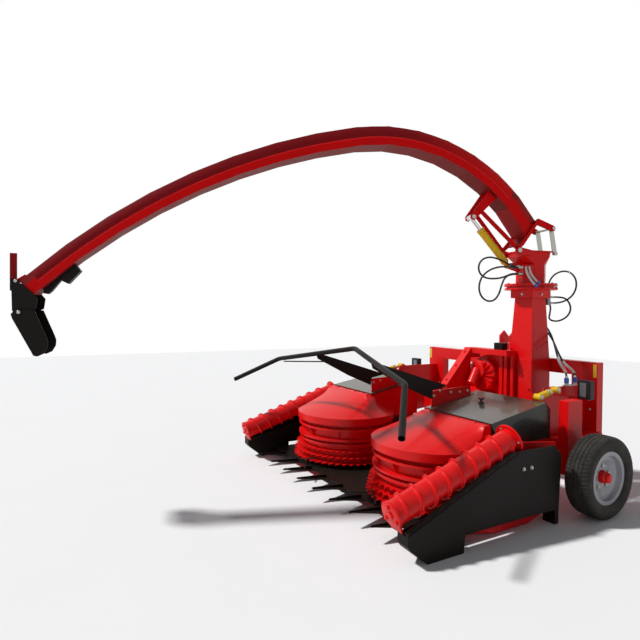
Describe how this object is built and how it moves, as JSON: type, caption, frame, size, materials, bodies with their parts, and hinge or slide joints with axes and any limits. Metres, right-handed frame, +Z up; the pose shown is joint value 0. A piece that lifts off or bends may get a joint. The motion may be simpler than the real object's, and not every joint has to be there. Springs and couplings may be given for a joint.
{
  "type": "forage harvester",
  "caption": "Mounted forage harvester for maize: toothed gathering drums, side augers, flywheel chopper and a slewing, lifting spout with a hinged end flap.",
  "frame": {"origin": "on the ground, under the middle of the whole machine's box", "axes": "+Z up, +Y to the tractor hitch, -Y ahead to the drums, +X to the right seen from the front"},
  "size_m": [2.876, 4.4699, 3.0079],
  "materials": {
    "red_paint": "gloss red machine paint",
    "black_paint": "satin black paint",
    "yellow_paint": "gloss yellow paint",
    "rod_chrome": "hard chrome",
    "bare_steel": "zinc plated steel",
    "grey_casting": "grey cast iron",
    "tyre_rubber": "road tyre rubber",
    "rim_paint": "grey wheel paint",
    "black_plastic": "moulded plastic",
    "lamp_lens": "lamp housing",
    "hose_rubber": "black hose rubber"
  },
  "bodies": {
    "frame": {"arm_brackets": "red_paint", "auger_brackets": "red_paint", "auger_noses": "black_paint", "bow_arm_left": "black_paint", "bow_arm_right": "black_paint", "chopper_casing": "red_paint", "chopper_guard": "red_paint", "coupling_rest": "bare_steel", "crop_bow": "black_paint", "drive_cover_left": "black_paint", "drive_cover_right": "black_paint", "drop_hose_front": "hose_rubber", "drop_hose_rear": "hose_rubber", "drum_cover_left": "red_paint", "drum_cover_right": "red_paint", "feed_housing": "red_paint", "flywheel": "grey_casting", "header_frame": "red_paint", "header_table": "black_paint", "headstock": "red_paint", "hitch_pins": "bare_steel", "lamps": "lamp_lens", "main_gearbox": "red_paint", "motor_hose_high": "hose_rubber", "motor_hose_low": "hose_rubber", "pto_guard": "black_plastic", "rear_beam": "red_paint", "roller_gearbox": "red_paint", "side_panel_left": "black_paint", "side_panel_right": "black_paint", "slew_motor": "grey_casting", "table_dishes": "red_paint", "tie_plates": "red_paint", "tilt_ram_brackets": "red_paint", "tilt_rams": "yellow_paint", "tower": "red_paint", "valve_block": "black_paint", "wheel_posts": "red_paint"},
    "drum_left": {"drum_left": "red_paint"},
    "drum_right": {"drum_right": "red_paint"},
    "auger_left": {"auger_left": "red_paint"},
    "auger_right": {"auger_right": "red_paint"},
    "wheel_left": {"hub_left": "red_paint", "rim_left": "rim_paint", "tyre_left": "tyre_rubber"},
    "wheel_right": {"hub_right": "red_paint", "rim_right": "rim_paint", "tyre_right": "tyre_rubber"},
    "pto_shaft": {"pto_stub": "bare_steel"},
    "spout_turret": {"turret": "red_paint", "turret_hose_high": "hose_rubber", "turret_hose_low": "hose_rubber"},
    "spout": {"spout_boom": "red_paint", "flap_drive": "black_paint"},
    "lift_barrel": {"ram_barrel": "yellow_paint"},
    "lift_rod": {"ram_rod": "rod_chrome"},
    "stays": {"spout_stays": "bare_steel"},
    "deflector": {"flap_inner": "black_paint"},
    "deflector_tip": {"flap_outer": "black_paint"}
  },
  "joints": [
    {"name": "drum_left_spin", "type": "hinge", "parent": "frame", "child": "drum_left", "pos_m": [-0.612, 0.555, 0.3], "axis": [0, 0, 1], "continuous": true},
    {"name": "auger_left_spin", "type": "hinge", "parent": "frame", "child": "auger_left", "pos_m": [-1.172, 0.25, 0.4535], "axis": [0, 0.9507, 0.3102], "continuous": true},
    {"name": "wheel_left_roll", "type": "hinge", "parent": "frame", "child": "wheel_left", "pos_m": [-1.345, 1.505, 0.298], "axis": [1, 0, 0], "continuous": true},
    {"name": "drum_right_spin", "type": "hinge", "parent": "frame", "child": "drum_right", "pos_m": [0.612, 0.555, 0.3], "axis": [0, 0, 1], "continuous": true},
    {"name": "auger_right_spin", "type": "hinge", "parent": "frame", "child": "auger_right", "pos_m": [1.172, 0.25, 0.4535], "axis": [0, 0.9507, 0.3102], "continuous": true},
    {"name": "wheel_right_roll", "type": "hinge", "parent": "frame", "child": "wheel_right", "pos_m": [1.345, 1.505, 0.298], "axis": [1, 0, 0], "continuous": true},
    {"name": "pto_spin", "type": "hinge", "parent": "frame", "child": "pto_shaft", "pos_m": [0, 2.1, 0.64], "axis": [0, 1, 0], "continuous": true},
    {"name": "spout_slew", "type": "hinge", "parent": "frame", "child": "spout_turret", "pos_m": [0.46, 1.855, 1.722], "axis": [0, 0, 1], "range_deg": [-150, 120]},
    {"name": "spout_lift", "type": "hinge", "parent": "spout_turret", "child": "spout", "pos_m": [0.40384, 1.64539, 2.03], "axis": [-0.9659, 0.2588, 0], "range_deg": [0, 30]},
    {"name": "ram_swing", "type": "hinge", "parent": "spout_turret", "child": "lift_barrel", "pos_m": [0.3984, 1.62511, 1.902], "axis": [-0.9659, 0.2588, 0], "range_deg": [0, 25.06]},
    {"name": "ram_stroke", "type": "slide", "parent": "lift_barrel", "child": "lift_rod", "axis": [-0.176, -0.6568, 0.7332], "range_m": [0, 0.04481]},
    {"name": "stay_swing", "type": "hinge", "parent": "spout", "child": "stays", "pos_m": [0.49547, 1.98738, 2.24], "axis": [-0.9659, 0.2588, 0], "range_deg": [-30, 0]},
    {"name": "deflector_tilt", "type": "hinge", "parent": "spout", "child": "deflector", "pos_m": [-0.61876, -2.17098, 1.664], "axis": [-0.9659, 0.2588, 0], "range_deg": [-8, 40]},
    {"name": "deflector_tip_tilt", "type": "hinge", "parent": "deflector", "child": "deflector_tip", "pos_m": [-0.61281, -2.14876, 1.449], "axis": [-0.9659, 0.2588, 0], "range_deg": [-4.8, 24]}
  ],
  "couplings": [
    {"joint": "ram_swing", "follows": "spout_lift", "ratio": 0.8352},
    {"joint": "ram_stroke", "follows": "spout_lift", "m_per_rad": 0.08558},
    {"joint": "stay_swing", "follows": "spout_lift", "ratio": -1},
    {"joint": "deflector_tip_tilt", "follows": "deflector_tilt", "ratio": 0.6}
  ]
}
